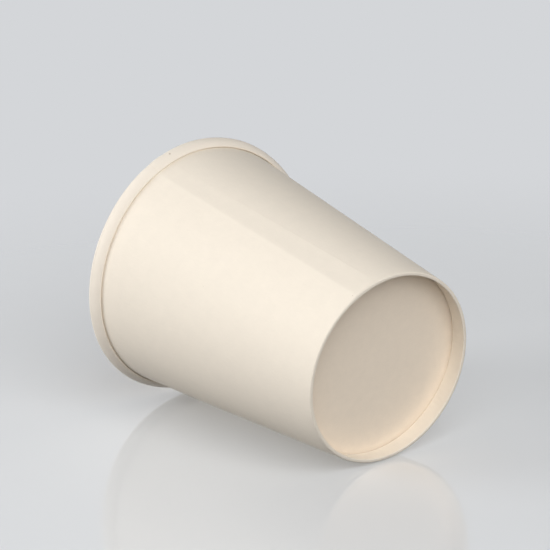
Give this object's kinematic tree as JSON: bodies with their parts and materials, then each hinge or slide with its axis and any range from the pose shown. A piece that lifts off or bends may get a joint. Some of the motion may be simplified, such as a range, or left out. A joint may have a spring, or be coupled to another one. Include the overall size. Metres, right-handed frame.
{
  "type": "paper cup",
  "caption": "Single-wall paper drinking cup with a rolled rim, a glued side seam and a recessed bottom held in a turned-in foot.",
  "frame": {"origin": "middle of the foot, on the plane that the cup stands on", "axes": "+Z along the cup's axis towards its mouth; the side seam lies towards -Y, -X"},
  "size_m": [0.08, 0.08, 0.0905],
  "materials": {
    "side_board": "white paper board, coated inside, satin",
    "bottom_board": "white paper board, uncoated underneath, matt"
  },
  "bodies": {
    "root": {"side_wall": "side_board", "bottom": "bottom_board"}
  },
  "joints": []
}
